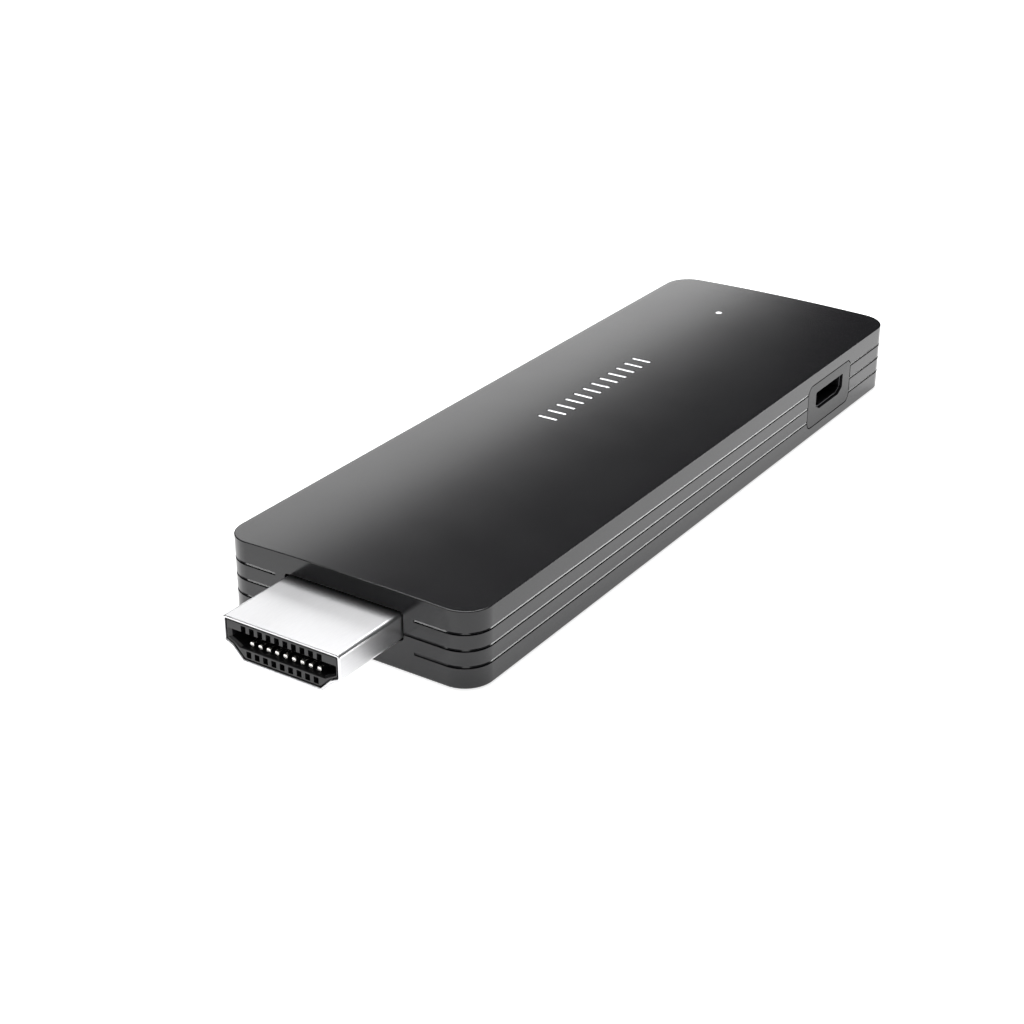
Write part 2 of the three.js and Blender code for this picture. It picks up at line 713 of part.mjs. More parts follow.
function socketShell() {
  let shell = alongX(socketShape(0), socketBack, socketFront);
  const half = SOCKET_WIDTH / 2;
  const tabs = [portY - half - TAB_LENGTH, portY + half + TAB_LENGTH];
  const tabEnd = bezelBack - FIT;
  shell = shell.add(block([tabEnd - TAB_WIDTH, tabEnd], tabs, [boardTop, boardTop + SOCKET_SHEET]));
  return shell.subtract(alongX(socketShape(-SOCKET_SHEET), socketBack - BEYOND, socketFront + BEYOND));
}

function socketContactRow() {
  const middle = (SOCKET_CONTACTS - 1) / 2;
  return Array.from({ length: SOCKET_CONTACTS }, (_, i) => portY + (i - middle) * SOCKET_CONTACT_PITCH);
}

function socketContactBar(y, reach) {
  const width = [y - SOCKET_CONTACT_WIDTH / 2, y + SOCKET_CONTACT_WIDTH / 2];
  return block([socketBack - reach, socketFront - TONGUE_SETBACK], width, [boardTop, tongueUnder]);
}

function socketTongue() {
  const rear = alongX(socketShape(-SOCKET_SHEET - HAIR), socketBack, socketBack + TONGUE_BLOCK);
  const side = TONGUE_WIDTH / 2;
  const heights = [tongueUnder, tongueUnder + TONGUE_THICKNESS];
  const tongue = block([socketBack, socketFront - TONGUE_SETBACK], [portY - side, portY + side], heights);
  const channels = socketContactRow().map((y) => socketContactBar(y, BEYOND));
  return channels.reduce((left, channel) => left.subtract(channel), rear.add(tongue));
}

// ---- reset button ----

const flangeFace = -halfWidth + WALL + HAIR;
const flangeBack = flangeFace + BUTTON_FLANGE_THICKNESS;
const switchFront = -boardHalf + SWITCH_SETBACK;

function resetButton() {
  const flange = buttonBar(BUTTON_FLANGE, flangeFace, flangeBack);
  return buttonBar(0, -halfWidth, flangeBack).add(flange);
}

function plungerBar(distance, start, end) {
  const width = PLUNGER_WIDTH + 2 * distance;
  const height = PLUNGER_HEIGHT + 2 * distance;
  return alongX(rectangle(width, height), start, end).translate(0, buttonY, buttonZ);
}

function switchBody() {
  const [depth, width, height] = SWITCH_SIZE;
  const middle = switchFront + depth / 2;
  const body = upward(rectangle(depth, width), boardTop, boardTop + height).translate(middle, buttonY, 0);
  const pocketEnd = switchFront + PLUNGER_DEPTH + BUTTON_TRAVEL + FIT;
  return body.subtract(plungerBar(HAIR, -CASE_WIDTH, pocketEnd));
}

// ---- the assembly ----

add("upper_shell", upperShell(), finishes.shell);
add("lower_shell", lowerShell(), finishes.shell);
add("port_bezel", portBezel(), finishes.bezel);
add("badge_inlay", inlay(), finishes.chrome);
add("light_pipe", lightPipe(), finishes.clear, [LINE_X, lightY, 0]);
add("status_led", chip(LED_SIZE), finishes.lamp, [LINE_X, lightY, boardTop]);

add("plug_sleeve", plugSleeve(), finishes.sleeve);
add("plug_insulator", plugInsulator(), finishes.insulator);
contactRow(UPPER_CONTACTS).forEach((x, i) => {
  add(`plug_contact_upper_${i + 1}`, contact(), finishes.gold, [x, 0, 0]);
});
contactRow(LOWER_CONTACTS).forEach((x, i) => {
  add(`plug_contact_lower_${i + 1}`, lowerContact(), finishes.gold, [x, 0, 0]);
});

add("main_board", mainBoard(), finishes.board);
add("board_screw_left", boardScrew(), finishes.tin, [-screwX, SCREW_FROM_FRONT, boardTop]);
add("board_screw_right", boardScrew(), finishes.tin, [screwX, SCREW_FROM_FRONT, boardTop]);

const memoryY = SHIELD_START + MEMORY_FROM_SHIELD;
const processorY = SHIELD_START + PROCESSOR_FROM_SHIELD;
const flashY = SHIELD_START + FLASH_FROM_SHIELD;
const processorTop = boardTop + PROCESSOR_SIZE[2];
const lidTop = shieldTop + SHIELD_SHEET;
const spreaderUnder = cavityTop - SPREADER_THICKNESS;
const lowerSpreaderTop = FLOOR_THICKNESS + SPREADER_THICKNESS;
const flashUnder = boardUnder - FLASH_SIZE[2];
const chipPad = [PROCESSOR_SIZE[0], PROCESSOR_SIZE[1], shieldTop - processorTop];
const lowerPad = [LOWER_PAD_SIDE, LOWER_PAD_SIDE, flashUnder - lowerSpreaderTop];
const spreaderWidth = 2 * (postX - POST_RADIUS - SPREADER_POST_GAP);
const spreader = plate(spreaderWidth, SPREADER_LENGTH, SPREADER_THICKNESS);
add("memory_left", chip(MEMORY_SIZE), finishes.chip, [-MEMORY_APART / 2, memoryY, boardTop]);
add("memory_right", chip(MEMORY_SIZE), finishes.chip, [MEMORY_APART / 2, memoryY, boardTop]);
add("processor", chip(PROCESSOR_SIZE), finishes.chip, [0, processorY, boardTop]);
add("processor_pad", chip(chipPad), finishes.pad, [0, processorY, processorTop]);
add("shield_frame", shieldFrame(), finishes.tin, [0, shieldMiddle, boardTop]);
const shieldLid = plate(SHIELD_WIDTH, SHIELD_LENGTH, SHIELD_SHEET);
add("shield_lid", shieldLid, finishes.tin, [0, shieldMiddle, shieldTop]);
const lidPad = chip([LID_PAD_SIDE, LID_PAD_SIDE, spreaderUnder - lidTop]);
add("lid_pad", lidPad, finishes.pad, [0, processorY, lidTop]);
add("upper_spreader", spreader, finishes.aluminium, [0, shieldMiddle, spreaderUnder]);
add("flash_storage", chip(FLASH_SIZE), finishes.chip, [0, flashY, flashUnder]);
add("flash_pad", chip(lowerPad), finishes.pad, [0, flashY, lowerSpreaderTop]);
add("lower_spreader", spreader, finishes.aluminium, [0, shieldMiddle, FLOOR_THICKNESS]);

const powerY = CASE_LENGTH - POWER_FROM_TAIL;
const antennaY = CASE_LENGTH - ANTENNA_FROM_TAIL;
add("radio_module", chip(RADIO_SIZE), finishes.tin, [0, CASE_LENGTH - RADIO_FROM_TAIL, boardTop]);
add("power_chip", chip(POWER_CHIP_SIZE), finishes.chip, [POWER_CHIP_X, powerY, boardTop]);
add("power_coil", chip(COIL_SIZE), finishes.pad, [COIL_X, powerY, boardTop]);
add("clock_crystal", chip(CRYSTAL_SIZE), finishes.tin, [CRYSTAL_X, powerY, boardTop]);
add("antenna_left", antenna(), finishes.gold, [-ANTENNA_X, antennaY, boardTop]);
add("antenna_right", antenna(), finishes.gold, [ANTENNA_X, antennaY, boardTop]);

add("socket_shell", socketShell(), finishes.tin);
add("socket_tongue", socketTongue(), finishes.insulator);
socketContactRow().forEach((y, i) => {
  add(`socket_contact_${i + 1}`, socketContactBar(y, SOCKET_TAIL), finishes.gold);
});

add("reset_button", resetButton(), finishes.shell);
add("switch_body", switchBody(), finishes.tin);
add("switch_plunger", plungerBar(0, flangeBack + HAIR, switchFront + PLUNGER_DEPTH), finishes.chip);

export default part;
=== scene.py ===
# %% [markdown]
# # A plug-in media player
# The player is a flat black stick. A metal display plug stands out of one end, a small power socket sits
# in the right side, and a row of polished bars and a tiny light sit in the lid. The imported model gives
# every piece its place. This lesson puts fine surfaces where the player is seen, and leaves the pieces
# that are sealed inside as they are, with finishes of their own.

# %% Load the model
import json
import math

import bmesh
import bpy
from mathutils import Matrix, Quaternion, Vector


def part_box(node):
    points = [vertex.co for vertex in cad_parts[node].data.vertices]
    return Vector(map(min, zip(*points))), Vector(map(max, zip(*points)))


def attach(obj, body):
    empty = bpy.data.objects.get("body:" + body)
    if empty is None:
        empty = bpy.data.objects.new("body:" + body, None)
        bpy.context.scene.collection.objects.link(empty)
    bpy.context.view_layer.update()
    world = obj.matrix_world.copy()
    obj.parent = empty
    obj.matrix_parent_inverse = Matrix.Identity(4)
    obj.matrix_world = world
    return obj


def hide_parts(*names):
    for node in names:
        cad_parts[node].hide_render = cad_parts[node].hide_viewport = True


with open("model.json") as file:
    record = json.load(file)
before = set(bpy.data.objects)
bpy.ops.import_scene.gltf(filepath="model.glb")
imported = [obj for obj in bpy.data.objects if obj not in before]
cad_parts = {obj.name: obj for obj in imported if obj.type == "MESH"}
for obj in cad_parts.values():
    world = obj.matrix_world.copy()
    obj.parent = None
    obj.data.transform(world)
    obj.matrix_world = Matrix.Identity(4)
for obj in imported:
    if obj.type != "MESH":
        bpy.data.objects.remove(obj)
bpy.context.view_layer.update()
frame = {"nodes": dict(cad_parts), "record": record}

# %% [markdown]
# ## Sizes
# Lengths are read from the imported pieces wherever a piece's box shows them: the case's sides, the
# plug's reach, the places of the bezel, the button and the light. What a box can't show, such as the
# seam's height, a wall, a corner's radius or the width of a rounded rim, gets a value of its own. The
# pieces are modelled in millimetres, because Blender's bevels and cuts ignore anything near a
# ten-thousandth of a unit, and each finished piece is scaled to metres.

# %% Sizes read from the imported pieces
METRE = 0.001  # metres in a millimetre, the unit of this script


def box_of(node):
    low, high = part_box(node)
    return low / METRE, high / METRE


shell_low, _ = box_of("lower_shell")
_, shell_high = box_of("upper_shell")
plug_low, _ = box_of("plug_sleeve")
bezel_low, bezel_high = box_of("port_bezel")
button_low, button_high = box_of("reset_button")
inlay_low, inlay_high = box_of("badge_inlay")
lamp_low, lamp_high = box_of("status_led")

HALF_WIDTH = shell_high.x
FRONT = shell_low.y
TAIL = shell_high.y
LID_CROWN = 0.3
SIDE_TOP = shell_high.z - LID_CROWN
CORNER_RADIUS = 3.15
WALL = 1.3
LID = 1.2
BASE = 1.2
SEAM = 4.11
GROOVE_PITCH = 1.77
PLUG_MIDDLE = 4.03
print("case", round(2 * HALF_WIDTH, 2), "by", round(TAIL - FRONT, 2), "mm")

# %% [markdown]
# ## Camera
# A picture of a small product is taken from well back with a long lens, so that its edges stay nearly
# parallel. The camera stands in front and to the right of the plug and looks down on the lid. Its place
# is worked out from two angles and a distance to a point on the player's middle line.

# %% Camera
TURN = math.radians(33.72)
TILT = math.radians(26.28)
DISTANCE = 213.9
SENSOR = 36.0
LENS = 68.115
AIM_SIDEWAYS = 6.157
AIM_UPWARDS = 5.846


def aim_back(turn, tilt):
    return Vector((math.sin(turn) * math.cos(tilt), -math.cos(turn) * math.cos(tilt), math.sin(tilt)))


back = aim_back(TURN, TILT)
right = Vector((math.cos(TURN), math.sin(TURN), 0))
up = back.cross(right)
look_at = Vector((0, FRONT + 40, 5))
camera_place = look_at + back * DISTANCE - right * AIM_SIDEWAYS - up * AIM_UPWARDS
camera_data = bpy.data.cameras.new("camera")
camera = bpy.data.objects.new("camera", camera_data)
bpy.context.scene.collection.objects.link(camera)
turned = Matrix((right, up, back)).transposed().to_4x4()
camera.matrix_world = Matrix.Translation(camera_place * METRE) @ turned
camera_data.sensor_width = SENSOR
camera_data.lens = LENS
camera_data.clip_start = 0.01
bpy.context.scene.camera = camera
print("camera stands at", [round(v) for v in camera_place], "mm")

# %% [markdown]
# ## Tools for modelling
# Almost every piece here is a plate with rounded corners that has been pushed to a thickness. A filled
# circle is added with one vertex for each point of the outline, its vertices are laid along the outline
# with true arcs at the corners, and the face is extruded. What passes through a plate is cut away
# afterwards with a Boolean modifier that is applied, and vertices that fall together are merged. A
# finished piece is shaded smooth with weighted normals. Without them a long flat face that ends in a
# bevel borrows some of the bevel's direction, and mirrors the light as if it bulged.


# %% Choosing
def deselect():
    if bpy.context.object and bpy.context.object.mode != "OBJECT":
        bpy.ops.object.mode_set(mode="OBJECT")
    bpy.ops.object.select_all(action="DESELECT")


def take(piece):
    deselect()
    piece.select_set(True)
    bpy.context.view_layer.objects.active = piece


def edit(piece, kind="VERT"):
    take(piece)
    bpy.ops.object.mode_set(mode="EDIT")
    bpy.ops.mesh.select_mode(type=kind)
    bpy.ops.mesh.select_all(action="DESELECT")
    return bmesh.from_edit_mesh(piece.data)


def leave(piece):
    bpy.ops.object.mode_set(mode="OBJECT")
    return piece


def select_edges(piece, test):
    mesh = edit(piece, "EDGE")
    for edge in mesh.edges:
        if test(edge):
            edge.select_set(True)
    bmesh.update_edit_mesh(piece.data)


def select_faces(piece, test):
    mesh = edit(piece, "FACE")
    for face in mesh.faces:
        face.select_set(test(face))
    bmesh.update_edit_mesh(piece.data)


def many_sided(face):
    return len(face.verts) > 4


# %% Cutting and joining
def apply_all(piece):
    take(piece)
    for modifier in list(piece.modifiers):
        bpy.ops.object.modifier_apply(modifier=modifier.name)


WELD = 0.002


def boolean(piece, other, operation):
    modifier = piece.modifiers.new("cut", "BOOLEAN")
    modifier.operation = operation
    modifier.solver = "EXACT"
    modifier.object = other
    apply_all(piece)
    bpy.data.objects.remove(other, do_unlink=True)
    edit(piece)
    bpy.ops.mesh.select_all(action="SELECT")
    bpy.ops.mesh.remove_doubles(threshold=WELD)
    leave(piece)


def cut(piece, *cutters):
    for cutter in cutters:
        boolean(piece, cutter, "DIFFERENCE")


def join(piece, *others):
    for other in others:
        boolean(piece, other, "UNION")


def copy_of(piece, name, shift=(0, 0, 0)):
    twin = piece.copy()
    twin.data = piece.data.copy()
    twin.name = name
    twin.data.transform(Matrix.Translation(shift))
    bpy.context.scene.collection.objects.link(twin)
    return twin


# %% Handing over a finished piece
def hand_over(piece, body, node, angle=30):
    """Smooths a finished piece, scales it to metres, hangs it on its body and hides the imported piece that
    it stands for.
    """
    select_faces(piece, many_sided)
    bpy.ops.mesh.quads_convert_to_tris(ngon_method="BEAUTY")
    leave(piece)
    take(piece)
    bpy.ops.object.shade_smooth_by_angle(angle=math.radians(angle))
    bpy.ops.object.modifier_add(type="WEIGHTED_NORMAL")
    piece.modifiers[-1].keep_sharp = True
    apply_all(piece)
    piece.data.transform(Matrix.Scale(METRE, 4))
    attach(piece, body)
    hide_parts(node)
    print(piece.name, "has", len(piece.data.polygons), "faces")


# %% A plate from its corners
# PLANES says which way a flat outline faces: its first and second directions, and the way it is pushed.
PLANES = {
    "up": (Vector((1, 0, 0)), Vector((0, 1, 0)), Vector((0, 0, 1))),
    "tail": (Vector((1, 0, 0)), Vector((0, 0, 1)), Vector((0, 1, 0))),
    "right": (Vector((0, 1, 0)), Vector((0, 0, 1)), Vector((1, 0, 0))),
}


def rounded(corners, radius, steps):
    """The outline with every corner replaced by an arc of one radius."""
    points = []
    for i, corner in enumerate(corners):
        here = Vector(corner)
        arriving = (Vector(corners[i - 1]) - here).normalized()
        leaving = (Vector(corners[(i + 1) % len(corners)]) - here).normalized()
        half = arriving.angle(leaving) / 2
        middle = here + (arriving + leaving).normalized() * radius / math.sin(half)
        first = here + arriving * radius / math.tan(half) - middle
        last = here + leaving * radius / math.tan(half) - middle
        sweep = math.atan2(first.x * last.y - first.y * last.x, first.dot(last))
        points += [middle + Matrix.Rotation(sweep * k / steps, 2) @ first for k in range(steps + 1)]
    return points


def plate(name, corners, plane, start, end, radius=0.0, steps=6):
    """A closed plate between start and end, with its corners rounded."""
    outline = rounded(corners, radius, steps) if radius else corners
    deselect()
    bpy.ops.mesh.primitive_circle_add(vertices=len(outline), radius=1, fill_type="NGON")
    piece = bpy.context.object
    piece.name = name
    first, second, push = PLANES[plane]
    for vertex, (a, b) in zip(piece.data.vertices, outline):
        vertex.co = first * a + second * b + push * start
    edit(piece)
    bpy.ops.mesh.select_all(action="SELECT")
    bpy.ops.mesh.extrude_region_move(TRANSFORM_OT_translate={"value": push * (end - start)})
    bpy.ops.mesh.select_all(action="SELECT")
    bpy.ops.mesh.normals_make_consistent(inside=False)
    return leave(piece)


def rectangle(low_a, low_b, high_a, high_b):
    return [(low_a, low_b), (high_a, low_b), (high_a, high_b), (low_a, high_b)]


SHARP = math.radians(30)


def bevel_rim(piece, test, width, steps=3):
    """Rounds the edges that the test picks, with the two faces beside them kept in place."""
    select_edges(piece, test)
    bpy.ops.mesh.bevel(offset=width, segments=steps, affect="EDGES", clamp_overlap=False)
    leave(piece)


def at(axis, value, slack=0.004):
    """A test for sharp edges whose two ends both lie at a value along an axis."""
    return lambda edge: (
        all(abs(vertex.co[axis] - value) < slack for vertex in edge.verts)
        and edge.calc_face_angle(0) > SHARP
    )


# %% [markdown]
# ## The case
# Both shells come from one block: a rounded plate as high as the case, whose lid is crowned by 0.3 mm
# across the width. Strips are cut along the lid with bisect, and the lid's points are lifted onto an
# arc. The edge of the lid is crisp, the underside's edge a little softer, and both are bevelled before
# anything is cut, while the edges still run all the way round.


# %% The block that both shells are cut from
LID_STRIPS = 40
LID_EDGE = 0.1
UNDER_EDGE = 0.3
CASE_ARC_STEPS = 20


def lid_height(x):
    radius = (HALF_WIDTH**2 + LID_CROWN**2) / (2 * LID_CROWN)
    return SIDE_TOP + LID_CROWN - radius + math.sqrt(radius**2 - min(x * x, HALF_WIDTH**2))


def case_block():
    outline = rectangle(-HALF_WIDTH, FRONT, HALF_WIDTH, TAIL)
    block = plate("case_block", outline, "up", 0, SIDE_TOP, CORNER_RADIUS, CASE_ARC_STEPS)
    bevel_rim(block, at(2, SIDE_TOP), LID_EDGE, 3)
    bevel_rim(block, at(2, 0), UNDER_EDGE, 5)
    edit(block)
    for i in range(1, LID_STRIPS):
        x = HALF_WIDTH * (2 * i / LID_STRIPS - 1)
        bpy.ops.mesh.select_all(action="SELECT")
        bpy.ops.mesh.bisect(plane_co=(x, 0, 0), plane_no=(1, 0, 0))
    leave(block)
    for vertex in block.data.vertices:
        if vertex.co.z > SIDE_TOP - 1.5 * LID_EDGE:
            vertex.co.z += lid_height(vertex.co.x) - SIDE_TOP
    return block


block = case_block()
print("case block:", len(block.data.polygons), "faces")

# %% [markdown]
# ## Grooves
# Three fine grooves run round the sides. The middle one hides the seam between the shells, and the outer
# two stop on either side of the plug. A groove isn't a plain slot: its upper part is a slanted facet,
# which catches the light as a thin bright line, and below the facet is a narrow slot that stays black.
# The section is drawn once and carried round the case, which gives a ring to cut both shells with.


# %% Groove cutters
GROOVE_STOP = 8.3
FACET_TOP = 0.2
FACET_DEEP = 0.14
FACET_SHALLOW = 0.05
SLOT_LOW = -0.12
SLOT_DEEP = 0.4
CLEAR = 0.3
GROOVE_SECTION = [
    (-CLEAR, FACET_TOP),
    (FACET_DEEP, FACET_TOP),
    (FACET_SHALLOW, 0),
    (SLOT_DEEP, 0),
    (SLOT_DEEP, SLOT_LOW),
    (-CLEAR, SLOT_LOW),
]


def side_path(height, gap, inset):
    """Points round the case at a height, open by `gap` either side of the middle of the front."""
    side = HALF_WIDTH - inset
    radius = CORNER_RADIUS - inset
    front = FRONT + inset
    tail = TAIL - inset
    turns = [
        (side - radius, front + radius, -90),
        (side - radius, tail - radius, 0),
        (radius - side, tail - radius, 90),
        (radius - side, front + radius, 180),
    ]
    points = [(gap, front)] if gap else []
    for x, y, first in turns:
        for step in range(CASE_ARC_STEPS + 1):
            angle = math.radians(first + 90 * step / CASE_ARC_STEPS)
            points.append((x + radius * math.cos(angle), y + radius * math.sin(angle)))
    if gap:
        points.append((-gap, front))
    return [Vector((x, y, height)) for x, y in points]


def groove_cutter(height, gap):
    """A ring with the groove's section; each corner of the section has its own path round the case."""
    paths = [side_path(height + rise, gap, inset) for inset, rise in GROOVE_SECTION]
    count = len(paths[0])
    corners = len(paths)
    faces = []
    for i in range(corners):
        for k in range(count - 1 if gap else count):
            j, n = (i + 1) % corners, (k + 1) % count
            faces.append((i * count + k, j * count + k, j * count + n, i * count + n))
    if gap:
        faces.append(tuple(i * count for i in range(corners)))
        faces.append(tuple(i * count + count - 1 for i in range(corners)))
    mesh = bpy.data.meshes.new("groove")
    mesh.from_pydata([point for path in paths for point in path], [], faces)
    ring = bpy.data.objects.new("groove", mesh)
    bpy.context.scene.collection.objects.link(ring)
    edit(ring)
    bpy.ops.mesh.select_all(action="SELECT")
    bpy.ops.mesh.normals_make_consistent(inside=False)
    return leave(ring)


# %% [markdown]
# ## Openings
# The plug comes out through an opening that follows its section with a small gap. Its section is wide
# at the top and steps in to a narrow foot. The power socket's bezel and the reset button fill openings
# with rounded corners. Each opening is cut with a plate a little larger than the piece that fills it.

# %% Outlines of the plug
PLUG_HALF = 6.95
PLUG_TALL = 4.45
SHEET = 0.3
STEP_IN = 0.88
SIDE_DROP = 2.2
STEP_DROP = 0.4
FOOT_IN = 2.1


def grow(points, distance):
    """Moves every side of an anticlockwise outline outwards."""
    grown = []
    count = len(points)
    for i in range(count):
        before, here, after = (Vector(points[(i + k) % count]) for k in (-1, 0, 1))
        along_in = (here - before).normalized()
        along_out = (after - here).normalized()
        start_in = here + Vector((along_in.y, -along_in.x)) * distance
        start_out = here + Vector((along_out.y, -along_out.x)) * distance
        cross = along_in.cross(along_out)
        reach = (start_out - start_in).cross(along_out) / cross
        grown.append(tuple(start_in + along_in * reach))
    return grown


def plug_outline(distance):
    """The plug's section inside its sheet metal, grown by a distance."""
    side = PLUG_HALF - SHEET
    top = PLUG_TALL / 2 - SHEET
    right_side = [
        (side - FOOT_IN, -top),
        (side - STEP_IN, top - SIDE_DROP - STEP_DROP),
        (side, top - SIDE_DROP),
        (side, top),
    ]
    left_side = [(-x, z) for x, z in reversed(right_side)]
    return [(x, z + PLUG_MIDDLE) for x, z in grow(right_side + left_side, distance)]


# %% Cutters for the openings
OPENING_GAP = 0.17
OPENING_CORNER = 0.4
BEYOND = 2
BEZEL_GAP = 0.12
BEZEL_HALF = 5.7
BEZEL_TALL = 5.3
BEZEL_MIDDLE = (bezel_low.z + bezel_high.z) / 2
BEZEL_CORNER = 0.95
PORT_Y = (bezel_low.y + bezel_high.y) / 2
BUTTON_Y = (button_low.y + button_high.y) / 2
BUTTON_Z = (button_low.z + button_high.z) / 2
BUTTON_HALF = 2.1
BUTTON_TALL = 1.3
BUTTON_GAP = 0.1
ROUND_END = 0.98  # an end's radius, as a share of the half height; at 1 its two arcs would meet


def plug_cutter():
    outline = plug_outline(SHEET + OPENING_GAP)
    return plate("plug_cutter", outline, "tail", FRONT - BEYOND, FRONT + BEYOND, OPENING_CORNER)


def bezel_plate(name, distance, start, end):
    half = BEZEL_HALF + distance
    tall = BEZEL_TALL / 2 + distance
    outline = rectangle(PORT_Y - half, BEZEL_MIDDLE - tall, PORT_Y + half, BEZEL_MIDDLE + tall)
    return plate(name, outline, "right", start, end, BEZEL_CORNER + distance, 8)


def button_plate(name, distance, start, end):
    half = BUTTON_HALF + distance
    tall = BUTTON_TALL / 2 + distance
    outline = rectangle(BUTTON_Y - half, BUTTON_Z - tall, BUTTON_Y + half, BUTTON_Z + tall)
    return plate(name, outline, "right", start, end, ROUND_END * tall, 8)


def cavity(bottom, top):
    outline = rectangle(-HALF_WIDTH + WALL, FRONT + WALL, HALF_WIDTH - WALL, TAIL - WALL)
    return plate("cavity", outline, "up", bottom, top, CORNER_RADIUS - WALL, 6)


# %% [markdown]
# ## Inlay and light
# A row of twelve polished bars stands through the lid from a strip under its skin, flush with the
# crowned surface. They are round ended, and their rims are softened so that each catches a line of
# light. The light beside them is the end of a clear rod, less than a millimetre across.

# %% Bars and light pipe sizes
LINE_X = (inlay_low.x + inlay_high.x) / 2
BARS = 12
BAR_PITCH = 1.87
BAR_WIDTH = 0.5
BAR_LENGTH = 2.6
BAR_GAP = 0.02
STRIP_MARGIN = 0.5
FIRST_BAR = inlay_low.y + STRIP_MARGIN + BAR_WIDTH / 2
LIGHT_Y = (lamp_low.y + lamp_high.y) / 2
LIGHT_RADIUS = 0.42
LIGHT_GAP = 0.02


def bar_plate(name, y, distance, bottom, top):
    half = BAR_LENGTH / 2 + distance
    thick = BAR_WIDTH / 2 + distance
    outline = rectangle(LINE_X - half, y - thick, LINE_X + half, y + thick)
    return plate(name, outline, "up", bottom, top, ROUND_END * thick, 4)


def bar_places():
    return [FIRST_BAR + i * BAR_PITCH for i in range(BARS)]


PIPE_FOOT = 1.0


def light_rod(name, distance, bottom, top, vertices=32):
    deselect()
    bpy.ops.mesh.primitive_cylinder_add(
        vertices=vertices,
        radius=LIGHT_RADIUS + distance,
        depth=top - bottom,
        location=(LINE_X, LIGHT_Y, (top + bottom) / 2),
    )
    rod = bpy.context.object
    rod.name = name
    bpy.ops.object.transform_apply(location=True, rotation=True, scale=True)
    return rod


# %% Upper shell
def half_of(block, name, keep_above):
    shell = copy_of(block, name)
    edit(shell)
    bpy.ops.mesh.select_all(action="SELECT")
    bpy.ops.mesh.bisect(
        plane_co=(0, 0, SEAM),
        plane_no=(0, 0, 1),
        use_fill=True,
        clear_inner=keep_above,
        clear_outer=not keep_above,
    )
    bpy.ops.mesh.select_all(action="SELECT")
    bpy.ops.mesh.normals_make_consistent(inside=False)
    return leave(shell)


ABOVE = shell_high.z + BEYOND
SEAM_LIFT = 0.02
upper = half_of(block, "case_top", True)
cut(upper, cavity(SEAM - BEYOND, SIDE_TOP - LID))
cut(upper, groove_cutter(SEAM + SEAM_LIFT, 0), groove_cutter(SEAM + GROOVE_PITCH, GROOVE_STOP))
cut(upper, plug_cutter(), bezel_plate("bezel_cutter", BEZEL_GAP, HALF_WIDTH - BEYOND, HALF_WIDTH + BEYOND))
cut(upper, button_plate("button_cutter", BUTTON_GAP, -HALF_WIDTH - BEYOND, -HALF_WIDTH + BEYOND))
cut(upper, light_rod("light_cutter", LIGHT_GAP, SEAM, ABOVE))
for y in bar_places():
    cut(upper, bar_plate("bar_cutter", y, BAR_GAP, SIDE_TOP - 2 * LID, ABOVE))
hand_over(upper, "case", "upper_shell")

# %% Lower shell
lower = half_of(block, "case_bottom", False)
bpy.data.objects.remove(block, do_unlink=True)
cut(lower, cavity(BASE, SEAM + BEYOND))
cut(lower, groove_cutter(SEAM + SEAM_LIFT, 0), groove_cutter(SEAM - GROOVE_PITCH, GROOVE_STOP))
cut(lower, plug_cutter(), bezel_plate("bezel_cutter", BEZEL_GAP, HALF_WIDTH - BEYOND, HALF_WIDTH + BEYOND))
hand_over(lower, "case", "lower_shell")

# %% Inlay
BAR_RIM = 0.15
STRIP_THICK = 0.3
STRIP_CORNER = 0.3
STRIP_OVERLAP = 0.1
SUNK = 0.01
lid_at_line = lid_height(LINE_X)
line_top = lid_at_line - SUNK
inlay = plate(
    "badge_bars",
    rectangle(inlay_low.x, inlay_low.y, inlay_high.x, inlay_high.y),
    "up",
    inlay_low.z,
    inlay_low.z + STRIP_THICK,
    STRIP_CORNER,
)
bar = bar_plate("bar", FIRST_BAR, 0, inlay_low.z + STRIP_OVERLAP, line_top)
bevel_rim(bar, at(2, line_top), BAR_RIM, 5)
slope = (lid_height(LINE_X + 1) - lid_height(LINE_X - 1)) / 2
for vertex in bar.data.vertices:
    if vertex.co.z > lid_at_line - 2 * BAR_RIM:
        vertex.co.z += slope * (vertex.co.x - LINE_X)
bars = [copy_of(bar, "bar", (0, y - FIRST_BAR, 0)) for y in bar_places()[1:]]
join(inlay, bar, *bars)
hand_over(inlay, "case", "badge_inlay", 40)

# %% Light pipe
PIPE_RIM = 0.12
FOOT_RIM = 0.1
pipe_low, _ = box_of("light_pipe")
under_lid = SIDE_TOP - LID
pipe = light_rod("light_pipe_end", 0, pipe_low.z, line_top, 48)
bevel_rim(pipe, at(2, line_top), PIPE_RIM, 5)
deselect()
bpy.ops.mesh.primitive_cylinder_add(
    vertices=48,
    radius=PIPE_FOOT,
    depth=under_lid - pipe_low.z,
    location=(LINE_X, LIGHT_Y, (under_lid + pipe_low.z) / 2),
)
foot = bpy.context.object
bpy.ops.object.transform_apply(location=True, rotation=True, scale=True)
bevel_rim(foot, at(2, pipe_low.z), FOOT_RIM, 3)
join(pipe, foot)
hand_over(pipe, "case", "light_pipe", 35)

# %% [markdown]
# ## Display plug
# The plug's sleeve is folded from 0.3 mm sheet. Its long edges are bends with a real radius, and its
# front rim is rolled, so a bright line runs round it. The sleeve is a plate of the outer section. Both
# its ends are inset by the sheet's thickness, and bridging the two inner faces opens it into a tube.

